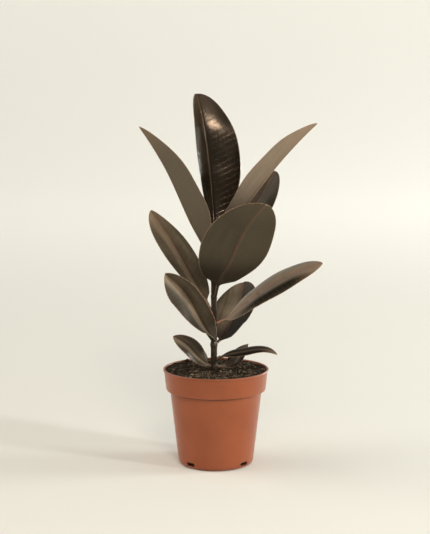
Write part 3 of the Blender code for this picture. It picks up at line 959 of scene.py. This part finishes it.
def soil_height(x, y):
    """The height of the soil's surface, in mm, at a place in mm."""
    out = min(1.0, math.hypot(x, y) / BAND_TOP_RADIUS)
    broad = noise(Vector((x / 14, y / 14, 3.0)))
    fine = noise(Vector((x / 6, y / 6, 9.0)))
    crumb = noise(Vector((x / 2.2, y / 2.2, 5.0))) + 0.6 * noise(Vector((x / 1.1, y / 1.1, 7.0)))
    level = POT_HEIGHT - SOIL_EDGE_BELOW_RIM - SOIL_DIP * (1.0 - out**2)
    lumps = SOIL_LUMPS * (broad + fine / 2) * (1.0 - out**6)
    return level + lumps + SOIL_CRUMBLE * crumb * (1.0 - out**12)


def make_soil():
    """The soil fills the pot, just clear of its inside, to a lumpy surface."""
    edge = POT_HEIGHT - SOIL_EDGE_BELOW_RIM
    rim, *wall = inner_profile()
    sides = [(radius - SOIL_INSET, height + SOIL_INSET) for radius, height in reversed(wall)]
    top_radius = rim[0] - 0.5
    top = [(top_radius * k / SOIL_RINGS, edge) for k in range(SOIL_RINGS, 0, -1)]
    soil = revolved("soil_body", [(0.0, POT_FLOOR + SOIL_INSET)] + sides + top + [(0.0, edge)], SOIL_SEGMENTS)
    for vert in soil.data.vertices:
        if vert.co.z > (edge - 0.1) * MM:
            vert.co.z = soil_height(vert.co.x / MM, vert.co.y / MM) * MM
    soil.data.materials.append(potting_soil("potting_soil", (0.0075, 0.005, 0.0028), (0.13, 0.098, 0.062)))
    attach(soil, "root")
    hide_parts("soil")


LITTER_SEED = 432
LITTER_RADIUS = 55.5
CRUMB_COUNT = 950
CRUMB_SIZES = (0.6, 0.8, 1.0, 1.3, 1.7, 2.3)
RED_CHIP_COUNT = 22
CLOD_PLACE = (-33.0, 43.0)
CLOD_SIZE = 3.6
FIBRE_COUNT = 90
FIBRE_POINTS = 9


def chunk(rng, size, flat):
    """The points and faces of one small rough lump, in mm."""
    built = bmesh.new()
    bmesh.ops.create_icosphere(built, subdivisions=1, radius=1.0)
    stretch = (rng.uniform(0.7, 1.4), rng.uniform(0.6, 1.1), rng.uniform(0.45, 0.9) * flat)
    turn = Matrix.Rotation(rng.uniform(0, math.tau), 3, "Z") @ Matrix.Rotation(rng.uniform(-0.5, 0.5), 3, "X")
    points = []
    for vert in built.verts:
        rough = 1.0 + 0.35 * rng.uniform(-1, 1)
        points.append(turn @ (Vector([a * b for a, b in zip(vert.co, stretch)]) * rough * size))
    faces = [tuple(v.index for v in face.verts) for face in built.faces]
    built.free()
    return points, faces


def fibre(rng):
    """The points and faces of one fibre that lies in a loose curve, or None where it is too short."""
    x, y = scattered(rng)
    heading = rng.uniform(0.0, math.tau)
    stride = rng.uniform(6.0, 16.0) / (FIBRE_POINTS - 1)
    path = []
    for i in range(FIBRE_POINTS):
        heading += rng.uniform(-0.25, 0.25)
        x += stride * math.cos(heading)
        y += stride * math.sin(heading)
        if math.hypot(x, y) > LITTER_RADIUS:
            break
        rise = 0.6 + 0.6 * math.sin(math.pi * i / (FIBRE_POINTS - 1))
        path.append(Vector((x, y, soil_height(x, y) + rise)))
    return tube(path, rng.uniform(0.2, 0.42)) if len(path) > 3 else None


def tube(path, radius, sides=5):
    """A thin tube along a path, in mm, that narrows to its ends."""
    points = []
    count = len(path)
    for i, place in enumerate(path):
        ahead = path[min(i + 1, count - 1)] - path[max(i - 1, 0)]
        turn = ahead.to_track_quat("Z", "Y")
        thin = radius * (1.0 - 0.6 * abs(2.0 * i / (count - 1) - 1.0) ** 3)
        for k in range(sides):
            a = math.tau * k / sides
            points.append(place + turn @ Vector((thin * math.cos(a), thin * math.sin(a), 0.0)))
    return points, tube_faces(count, sides)


def scattered(rng):
    """A place on the soil, in mm, clear of the stem and of the pot's wall."""
    while True:
        radius = LITTER_RADIUS * math.sqrt(rng.random())
        turn = rng.uniform(0.0, math.tau)
        x, y = radius * math.cos(turn), radius * math.sin(turn)
        if math.hypot(x - STEM_X, y) > STEM_FOOT_RADIUS + 2.5:
            return x, y


def placed(lump, x, y, sink):
    """The lump at a place on the soil, sunk into it by that much."""
    points, faces = lump
    base = Vector((x, y, soil_height(x, y) - sink))
    return [base + p for p in points], faces


def add_litter(name, pieces, surface):
    """Adds one object from many small pieces, each given by its points and faces."""
    points, faces = [], []
    for piece_points, piece_faces in pieces:
        start = len(points)
        points += piece_points
        faces += [tuple(start + i for i in face) for face in piece_faces]
    mesh = smooth_mesh(name, [tuple(p) for p in points], faces)
    mesh.set_sharp_from_angle(angle=math.radians(50))
    mesh.materials.append(surface)
    litter = add_object(name, mesh)
    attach(litter, "root")
    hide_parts("soil")


def make_litter():
    """Crumbs, bark chips and fibres that lie on the soil. Every third crumb on its front right half is a pale
    chip, which makes that half, on the key light's side, lighter: real pale chips, placed as painted light."""
    rng = random.Random(LITTER_SEED)
    dark, pale_on_lit_side, red = [], [], []
    for number in range(CRUMB_COUNT):
        x, y = scattered(rng)
        size = rng.choice(CRUMB_SIZES)
        # Pale chips only on the front right half, where the key light falls: partly painted light.
        kind = pale_on_lit_side if number % 3 == 0 and x - y > 5.0 else dark
        kind.append(placed(chunk(rng, size, 1.0), x, y, size * 0.1))
    for _ in range(RED_CHIP_COUNT):
        x, y = scattered(rng)
        red.append(placed(chunk(rng, rng.uniform(0.8, 1.6), 0.5), x, y, 0.0))
    dark.append(placed(chunk(rng, CLOD_SIZE, 0.9), *CLOD_PLACE, -1.0))
    fibres = [made for made in (fibre(rng) for _ in range(FIBRE_COUNT)) if made]
    add_litter("soil_crumbs", dark, potting_soil("crumb", (0.008, 0.0056, 0.0032), (0.15, 0.113, 0.072), 1.5))
    add_litter("soil_chips", pale_on_lit_side, potting_soil("chip", (0.10, 0.070, 0.043), (0.42, 0.31, 0.20), 1.5))
    add_litter("soil_bark", red, potting_soil("bark_chip", (0.12, 0.030, 0.013), (0.30, 0.095, 0.045), 1.5))
    add_litter("soil_fibres", fibres, potting_soil("fibre", (0.10, 0.07, 0.044), (0.36, 0.265, 0.175), 2.0))


# ---------------------------------------------------------------- the whole

def main():
    make_camera()
    make_stage()
    make_lights()
    make_pot()
    make_soil()
    make_litter()
    make_stem()
    make_bud()
    for leaf in LEAVES:
        make_leaf(leaf)


main()
